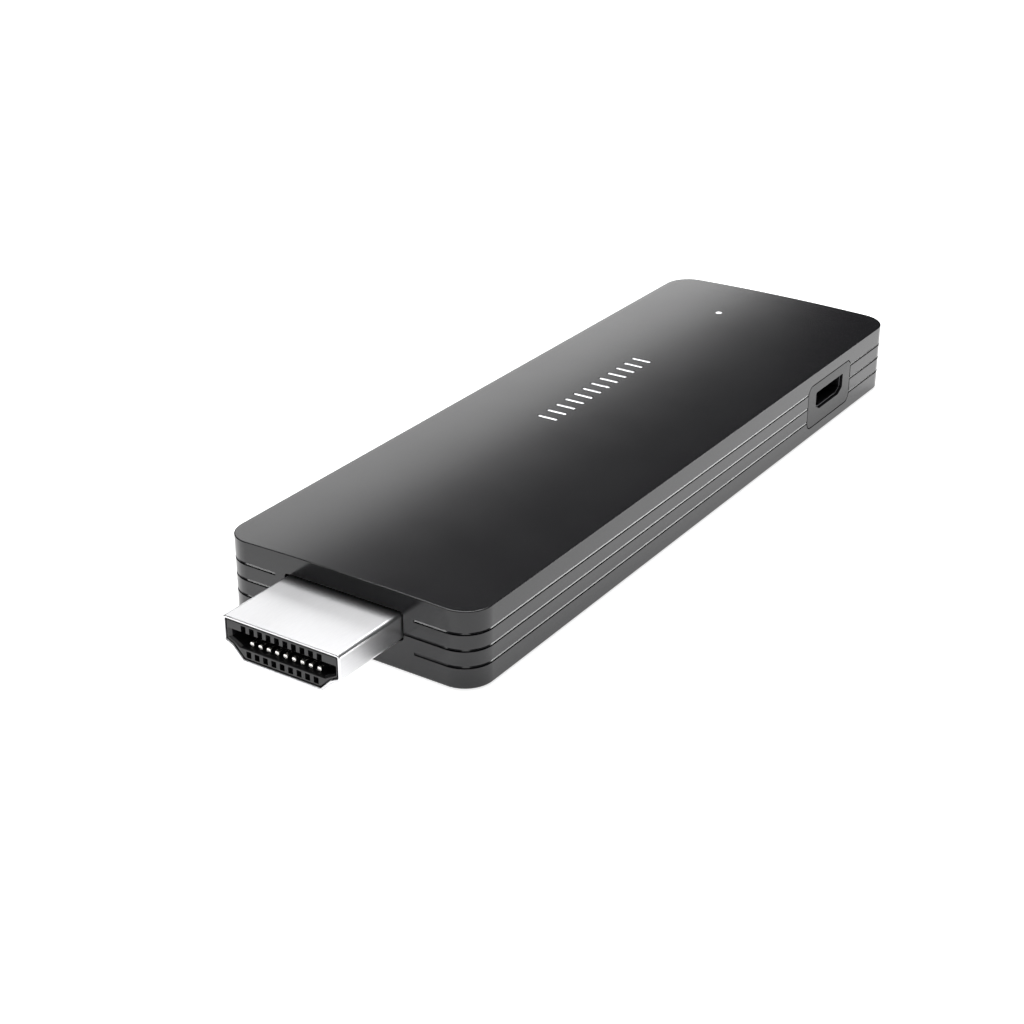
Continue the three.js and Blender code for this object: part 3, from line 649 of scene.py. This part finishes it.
# %% Sleeve
PLUG_FRONT = plug_low.y
PLUG_ROOT = FRONT + 1.6
SLEEVE_CORNER = 0.42
RIM = 0.13
sleeve = plate("sleeve", plug_outline(SHEET), "tail", PLUG_FRONT, PLUG_ROOT, SLEEVE_CORNER, 8)
select_faces(sleeve, many_sided)
bpy.ops.mesh.inset(thickness=SHEET)
bpy.ops.mesh.bridge_edge_loops()
bpy.ops.mesh.select_all(action="SELECT")
bpy.ops.mesh.normals_make_consistent(inside=False)
leave(sleeve)
bevel_rim(sleeve, at(1, PLUG_FRONT), RIM, 4)
hand_over(sleeve, "case", "plug_sleeve", 40)

# %% [markdown]
# ## Plug insulator
# A dark moulding fills the sleeve. A wide slot runs across it, with sloping lead-in faces that guide
# the socket's tongue. Small square windows stand in a row above and below the slot, one for each
# contact. The contacts' bright sprung tips hang into the slot behind its front edge.

# %% Insulator
FACE_SET_BACK = 0.12
FACE = PLUG_FRONT + FACE_SET_BACK
BLOCK_END = box_of("plug_insulator")[1].y
TOP_INSIDE = PLUG_MIDDLE + PLUG_TALL / 2 - SHEET
SLOT_TOP = TOP_INSIDE - 1.12
SLOT_BOTTOM = TOP_INSIDE - 2.6
SLOT_HALF = 6.15
SLOT_FOOT = 4.85
SLOT_CHAMFER = 0.65
SLOT_DEPTH = 8.2
LEAD_IN = 0.3
LEAD_IN_GROWTH = (1.045, 1, 1.2)
REBATE = 0.4
NOSE_GAP = 0.13
PITCH = 1.0
WINDOW = 0.58
WINDOW_DEPTH = 5
UPPER_WINDOWS = (TOP_INSIDE - 0.98, TOP_INSIDE - 0.31)
LOWER_WINDOWS = (TOP_INSIDE - 3.58, TOP_INSIDE - 2.9)
INSULATOR_GAP = 0.02
INSULATOR_END = FRONT + 1.62
MOULDED_CORNER = 0.15
BLOCK_HALF = 7.7
BLOCK_RISE = 2.4
BLOCK_CORNER = 0.5


def slot_outline(distance):
    corners = [
        (-SLOT_FOOT, SLOT_BOTTOM),
        (SLOT_FOOT, SLOT_BOTTOM),
        (SLOT_HALF, SLOT_BOTTOM + SLOT_CHAMFER),
        (SLOT_HALF, SLOT_TOP),
        (-SLOT_HALF, SLOT_TOP),
        (-SLOT_HALF, SLOT_BOTTOM + SLOT_CHAMFER),
    ]
    return grow(corners, distance)


def row(count):
    return [(i - (count - 1) / 2) * PITCH for i in range(count)]


def window_cutter(x, low, high):
    outline = rectangle(x - WINDOW / 2, low, x + WINDOW / 2, high)
    return plate("window", outline, "tail", FACE - 1, FACE + WINDOW_DEPTH, 0.06, 2)


def slot_cutter():
    """The slot with its lead-in: the mouth is scaled up, and narrows to the slot behind it."""
    slot = plate("slot", slot_outline(0), "tail", FACE + LEAD_IN, FACE + SLOT_DEPTH, 0.08, 2)
    select_faces(slot, lambda face: all(abs(v.co.y - FACE - LEAD_IN) < 0.01 for v in face.verts))
    middle = (0, FACE, (SLOT_TOP + SLOT_BOTTOM) / 2)
    for reach, size in ((LEAD_IN, LEAD_IN_GROWTH), (1.0, (1, 1, 1))):
        bpy.ops.mesh.extrude_region_move(TRANSFORM_OT_translate={"value": (0, -reach, 0)})
        bpy.ops.transform.resize(value=size, center_override=middle)
    bpy.ops.mesh.select_all(action="SELECT")
    bpy.ops.mesh.normals_make_consistent(inside=False)
    return leave(slot)


body_outline = plug_outline(-INSULATOR_GAP)
insulator = plate("insulator", body_outline, "tail", FACE + REBATE, INSULATOR_END, MOULDED_CORNER, 6)
nose = plate("nose", plug_outline(-NOSE_GAP), "tail", FACE, FACE + 2 * REBATE, MOULDED_CORNER, 6)
bevel_rim(nose, at(1, FACE), 0.05, 2)
rear = plate(
    "rear_block",
    rectangle(-BLOCK_HALF, PLUG_MIDDLE - BLOCK_RISE, BLOCK_HALF, PLUG_MIDDLE + BLOCK_RISE),
    "tail",
    PLUG_ROOT,
    BLOCK_END,
    BLOCK_CORNER,
)
join(insulator, nose, rear)
cut(insulator, slot_cutter())
for x in row(10):
    cut(insulator, window_cutter(x, *UPPER_WINDOWS))
for x in row(9):
    cut(insulator, window_cutter(x, *LOWER_WINDOWS))
hand_over(insulator, "case", "plug_insulator")

# %% [markdown]
# ## Sprung contacts
# Each contact is a stamped strip whose front end is bent into a nose that presses on the mating
# tongue. The nose is round across as well as along, so it shines as one small spot, and the tips of
# the lower row, which are seen from above, are swollen too. One strip for each row is bent from a cube
# that is cut into short lengths, and the contacts are copies of it at the contact pitch.

# %% Contacts
CONTACT_WIDTH = 0.44
CONTACT_THICK = 0.2
NOSE_START = FACE + 0.55
NOSE_END = NOSE_START + 1.7
UPPER_REST = SLOT_TOP + 0.14
LOWER_REST = SLOT_BOTTOM - 0.16
UPPER_DROP = 0.36
LOWER_DROP = 0.58
CONTACT_END = BLOCK_END + 0.3
CONTACT_LENGTHS = 44
CONTACT_CROWDING = 1.8  # the cuts lie closer together near the nose
TIP_SHARE = 0.3
TIP_SWELL = 1.2
CONTACT_EDGE = 0.09
NOSE_PHASE = 0.25  # how far along its arch the nose already is at the very tip


def contact_strip(name, rest, drop, swell, end_y):
    """A strip at height `rest`, whose nose leaves it by `drop`; `swell` thickens the very tip."""
    start = NOSE_START
    deselect()
    bpy.ops.mesh.primitive_cube_add(size=1, location=(0, (start + end_y) / 2, rest))
    strip = bpy.context.object
    strip.name = name
    strip.scale = (CONTACT_WIDTH, end_y - start, CONTACT_THICK)
    bpy.ops.object.transform_apply(location=True, rotation=True, scale=True)
    bevel_rim(strip, lambda e: abs(e.verts[0].co.y - e.verts[1].co.y) > 1, CONTACT_EDGE, 4)
    edit(strip)
    for i in range(1, CONTACT_LENGTHS):
        share = (i / CONTACT_LENGTHS) ** CONTACT_CROWDING
        bpy.ops.mesh.select_all(action="SELECT")
        bpy.ops.mesh.bisect(plane_co=(0, start + (end_y - start) * share, 0), plane_no=(0, 1, 0))
    leave(strip)
    for vertex in strip.data.vertices:
        along = (vertex.co.y - start) / (NOSE_END - start)
        if along < TIP_SHARE:
            vertex.co.z += (vertex.co.z - rest) * swell * (1 - along / TIP_SHARE)
        if along < 1:
            vertex.co.z += drop * math.sin(math.pi * min(1, NOSE_PHASE + (1 - NOSE_PHASE) * along))
    return strip


upper_strip = contact_strip("contact_upper_1", UPPER_REST, -UPPER_DROP, 0, CONTACT_END)
lower_strip = contact_strip("contact_lower_1", LOWER_REST, LOWER_DROP, TIP_SWELL, CONTACT_END)
contacts = []
for kind, strip, count in (("upper", upper_strip, 10), ("lower", lower_strip, 9)):
    for i, x in enumerate(row(count)):
        piece = copy_of(strip, f"plug_spring_{kind}_{i + 1}", (x, 0, 0))
        hand_over(piece, "case", f"plug_contact_{kind}_{i + 1}", 50)
        contacts.append(piece)
    bpy.data.objects.remove(strip, do_unlink=True)
print(len(contacts), "plug contacts")

# %% [markdown]
# ## Power socket
# The bezel is a small plate that sits flush in the side with a hair of a gap round it. Its opening is
# wide at the top, with both lower corners cut off, as the socket's metal shell is. The shell's own lip
# shows just inside the opening, and a thin tongue with five contacts stands in the dark behind it.

# %% Outline of the socket
socket_low, socket_high = box_of("socket_shell")
SOCKET_HALF = 3.6
SOCKET_TALL = 2.25
SOCKET_SHEET = 0.2
CHAMFER_LONG = 1.0
CHAMFER_TALL = 0.6
MOUTH_GAP = 0.06
MOUTH_CORNER = 0.22
SOCKET_Z = socket_high.z - SOCKET_TALL / 2
SOCKET_FRONT = socket_high.x
SOCKET_BACK = socket_low.x


def socket_outline(distance):
    side = SOCKET_HALF
    top = SOCKET_TALL / 2
    corners = [
        (-side + CHAMFER_LONG, -top),
        (side - CHAMFER_LONG, -top),
        (side, -top + CHAMFER_TALL),
        (side, top),
        (-side, top),
        (-side, -top + CHAMFER_TALL),
    ]
    return [(y + PORT_Y, z + SOCKET_Z) for y, z in grow(corners, distance)]


# %% Bezel
EAR_LENGTH = 0.7
EAR_THICKNESS = 0.5
EAR_GAP = 0.06
bezel = bezel_plate("socket_bezel", 0, bezel_low.x, HALF_WIDTH)
ear_half = BEZEL_HALF + EAR_LENGTH
ears = plate(
    "ears",
    rectangle(PORT_Y - ear_half, bezel_low.z + EAR_GAP, PORT_Y + ear_half, bezel_high.z - EAR_GAP),
    "right",
    bezel_low.x,
    bezel_low.x + EAR_THICKNESS,
)
bevel_rim(bezel, at(0, HALF_WIDTH), 0.05, 2)
join(bezel, ears)
cut(bezel, plate("mouth", socket_outline(MOUTH_GAP), "right", 0, HALF_WIDTH + 1, MOUTH_CORNER, 6))
hand_over(bezel, "case", "port_bezel")

# %% Socket shell
BORE_CORNER = 0.14
socket = plate("socket_sleeve", socket_outline(0), "right", SOCKET_BACK, SOCKET_FRONT, MOUTH_CORNER, 6)
bore_outline = socket_outline(-SOCKET_SHEET)
cut(socket, plate("bore", bore_outline, "right", SOCKET_BACK - 1, HALF_WIDTH, BORE_CORNER, 6))
bevel_rim(socket, at(0, SOCKET_FRONT), 0.06, 3)
hand_over(socket, "case", "socket_shell", 35)

# %% [markdown]
# ## Reset button
# The button is a small round-ended cap in the left side, flush with the wall. It slides in by a quarter
# of a millimetre when it is pressed, so it rides on its own body. A flange behind the wall stops it
# from falling out.

# %% Reset button
BUTTON_RIM = 0.12
FLANGE = 0.6
FLANGE_THICKNESS = 0.4
button = button_plate("reset_cap", 0, -HALF_WIDTH, button_high.x)
bevel_rim(button, at(0, -HALF_WIDTH), BUTTON_RIM, 4)
flange = button_plate("flange", FLANGE, button_high.x - FLANGE_THICKNESS, button_high.x)
join(button, flange)
hand_over(button, "button", "reset_button", 35)

# %% [markdown]
# ## Finishes
# Every finish starts from one principled shader. Fine grain comes from noise that is read in object
# coordinates, so it stays on the piece when the piece moves. The helper below makes a shader whose
# colour and roughness wander a little between two values, with a bump of the grain's real size.


# %% A grained finish
PATCH = 60  # grains across one patch of the broad noise


def grained(name, dark, light, rough, grain, bump, metal=0.0, stretch=(1, 1, 1), **sockets):
    """`grain` is how many grains lie along a metre, and `bump` is their height in metres."""
    finish = bpy.data.materials.new(name)
    finish.use_nodes = True
    nodes, links = finish.node_tree.nodes, finish.node_tree.links
    shader = nodes["Principled BSDF"]
    shader.inputs["Metallic"].default_value = metal
    for socket_name, value in sockets.items():
        shader.inputs[socket_name.replace("_", " ")].default_value = value
    place = nodes.new("ShaderNodeTexCoord")
    spread = nodes.new("ShaderNodeMapping")
    spread.inputs["Scale"].default_value = stretch
    links.new(place.outputs["Object"], spread.inputs["Vector"])

    fine = nodes.new("ShaderNodeTexNoise")
    fine.inputs["Scale"].default_value = grain
    fine.inputs["Detail"].default_value = 3
    broad = nodes.new("ShaderNodeTexNoise")
    broad.inputs["Scale"].default_value = grain / PATCH
    broad.inputs["Detail"].default_value = 4
    for noise in (fine, broad):
        links.new(spread.outputs["Vector"], noise.inputs["Vector"])

    tone = nodes.new("ShaderNodeMix")
    tone.data_type = "RGBA"
    tone.inputs["A"].default_value = (*dark, 1)
    tone.inputs["B"].default_value = (*light, 1)
    links.new(fine.outputs["Fac"], tone.inputs["Factor"])
    links.new(tone.outputs["Result"], shader.inputs["Base Color"])

    gloss = nodes.new("ShaderNodeMapRange")
    gloss.inputs["From Min"].default_value = 0.3
    gloss.inputs["From Max"].default_value = 0.7
    gloss.inputs["To Min"].default_value = rough[0]
    gloss.inputs["To Max"].default_value = rough[1]
    links.new(broad.outputs["Fac"], gloss.inputs["Value"])
    links.new(gloss.outputs["Result"], shader.inputs["Roughness"])

    relief = nodes.new("ShaderNodeBump")
    relief.inputs["Distance"].default_value = bump
    relief.inputs["Strength"].default_value = 1.0
    links.new(fine.outputs["Fac"], relief.inputs["Height"])
    links.new(relief.outputs["Normal"], shader.inputs["Normal"])
    return finish


def give(finish, *things):
    for thing in things:
        thing.data.materials.clear()
        thing.data.materials.append(finish)


# %% Finishes of what is seen
case_black = grained(
    "case_black", (0.009, 0.009, 0.010), (0.014, 0.014, 0.016), (0.17, 0.185), 9000, 5e-7
)
bezel_grey = grained(
    "bezel_grey", (0.010, 0.010, 0.011), (0.016, 0.016, 0.018), (0.19, 0.21), 9000, 5e-7, IOR=1.35
)
inlay_chrome = grained(
    "inlay_chrome", (0.80, 0.80, 0.82), (0.90, 0.90, 0.92), (0.34, 0.38), 6000, 2e-7, 1.0
)
sleeve_metal = grained(
    "sleeve_metal", (0.70, 0.70, 0.71), (0.78, 0.78, 0.79), (0.32, 0.35), 9000, 1.2e-7, 1.0, (1, 0.1, 1)
)
plug_black = grained(
    "plug_black", (0.008, 0.008, 0.009), (0.014, 0.014, 0.015), (0.30, 0.36), 6000, 8e-7
)
contact_gold = grained(
    "contact_gold", (0.92, 0.90, 0.86), (0.97, 0.96, 0.93), (0.22, 0.28), 5000, 2e-7, 1.0
)
socket_steel = grained(
    "socket_steel", (0.05, 0.05, 0.055), (0.08, 0.08, 0.085), (0.32, 0.42), 6000, 4e-7, 1.0
)
light_end = grained(
    "light_end", (0.90, 0.90, 0.92), (0.98, 0.98, 1.0), (0.2, 0.3), 5000, 4e-7,
    Emission_Color=(1, 1, 1, 1), Emission_Strength=0.9,
)
give(case_black, upper, lower, button)
give(bezel_grey, bezel)
give(inlay_chrome, inlay)
give(sleeve_metal, sleeve)
give(plug_black, insulator)
give(contact_gold, *contacts)
give(socket_steel, socket)
give(light_end, pipe)

# %% [markdown]
# ## Finishes of what is sealed inside
# These pieces are seen only when the case is taken apart, but each has its own finish all the same:
# solder mask on the board, moulded chips, tinned shields, brushed spreaders and soft pads.

# %% Finishes of what is sealed inside
INSIDE = {
    "board": grained("board_green", (0.008, 0.045, 0.022), (0.014, 0.075, 0.038), (0.25, 0.4), 1500, 2e-6),
    "chip": grained("chip_black", (0.012, 0.012, 0.013), (0.026, 0.026, 0.028), (0.5, 0.65), 8000, 2e-6),
    "pad": grained("pad_grey", (0.32, 0.37, 0.42), (0.42, 0.47, 0.52), (0.7, 0.85), 3000, 6e-6),
    "coil": grained("coil_ferrite", (0.05, 0.05, 0.055), (0.09, 0.09, 0.095), (0.55, 0.7), 5000, 4e-6),
    "spreader": grained(
        "spreader_metal", (0.62, 0.63, 0.65), (0.74, 0.75, 0.77), (0.3, 0.42), 5000, 8e-7, 1.0, (1, 0.05, 1)
    ),
    "steel": grained("tinned_steel", (0.55, 0.56, 0.58), (0.68, 0.69, 0.70), (0.25, 0.4), 3000, 8e-7, 1.0),
    "lamp": grained("lamp_resin", (0.78, 0.72, 0.50), (0.90, 0.84, 0.62), (0.2, 0.3), 4000, 4e-7),
    "insulator": plug_black,
    "gold": contact_gold,
}
for entry in frame["record"]["subparts"]:
    thing = frame["nodes"][entry["node"]]
    if entry["material_slot"] in INSIDE and not thing.hide_render:
        give(INSIDE[entry["material_slot"]], thing)
print("finishes given to the sealed pieces")

# %% [markdown]
# ## Floor and light
# The player lies on a plain pale sheet. A wide soft panel overhead lights the sheet. Dark glossy
# plastic is seen mostly by what it reflects, so each small panel is put where one surface mirrors it:
# behind the left edge for the lid, high up for the plug, and low down for the lips of the grooves.
# The sides need no panel, because they mirror the pale sheet. One more panel, in front, gives the lid
# its sheen when it is seen from the tail. The sky lights the player only faintly, but it is shown as
# pale as the far end of the sheet, so that no dark band stands above it when seen from low down.


# %% Pale sheet
FLOOR_GLOW = 0.8


def material_of_floor():
    sheet = bpy.data.materials.new("floor_white")
    sheet.use_nodes = True
    shader = sheet.node_tree.nodes["Principled BSDF"]
    shader.inputs["Base Color"].default_value = (0.86, 0.86, 0.86, 1)
    shader.inputs["Roughness"].default_value = 0.9
    shader.inputs["Specular IOR Level"].default_value = 0.1
    shader.inputs["Emission Color"].default_value = (1, 1, 1, 1)
    shader.inputs["Emission Strength"].default_value = FLOOR_GLOW
    return sheet


deselect()
bpy.ops.mesh.primitive_plane_add(size=400, location=(0, 0, -0.0001))
floor = bpy.context.object
floor.name = "floor"
give(material_of_floor(), floor)

# %% Soft panels
PANEL_DISTANCE = 0.6


def panel(name, turn, tilt, width, height, watts, roll=0):
    """A soft panel that faces the player; turn is measured from the plug's side."""
    data = bpy.data.lights.new(name, "AREA")
    data.shape = "RECTANGLE"
    data.size = width
    data.size_y = height
    data.energy = watts
    lamp = bpy.data.objects.new(name, data)
    bpy.context.scene.collection.objects.link(lamp)
    away = aim_back(math.radians(turn), math.radians(tilt))
    lamp.location = away * PANEL_DISTANCE
    facing = away.to_track_quat("Z", "Y") @ Quaternion((0, 0, 1), math.radians(roll))
    lamp.rotation_euler = facing.to_euler()
    return lamp


overhead = panel("overhead", 180, 87, 1.2, 1.2, 5.0)
overhead.location = (0, 0.05, 0.9)
panel("lid_glow", -142.7, 17.4, 0.32, 0.14, 0.27, 27.5)
panel("plug_glow", -140, 62, 0.3, 0.3, 2.4)
panel("front_line", -31.5, 10.5, 0.13, 0.03, 0.17)
panel("side_line", 136, 3.4, 0.26, 0.05, 0.55)
panel("tail_glow", 35, 17, 0.24, 0.1, 0.16)

# %% Sky
SKY = 0.03
world = bpy.data.worlds.new("studio")
bpy.context.scene.world = world
world.use_nodes = True
sky = world.node_tree.nodes["Background"]
sky.inputs["Color"].default_value = (1, 1, 1, 1)
path = world.node_tree.nodes.new("ShaderNodeLightPath")
shown = world.node_tree.nodes.new("ShaderNodeMapRange")
shown.inputs["To Min"].default_value = SKY
shown.inputs["To Max"].default_value = FLOOR_GLOW
world.node_tree.links.new(path.outputs["Is Camera Ray"], shown.inputs["Value"])
world.node_tree.links.new(shown.outputs["Result"], sky.inputs["Strength"])
bpy.context.scene.view_settings.view_transform = "Standard"
print("floor, six panels and a dim sky")
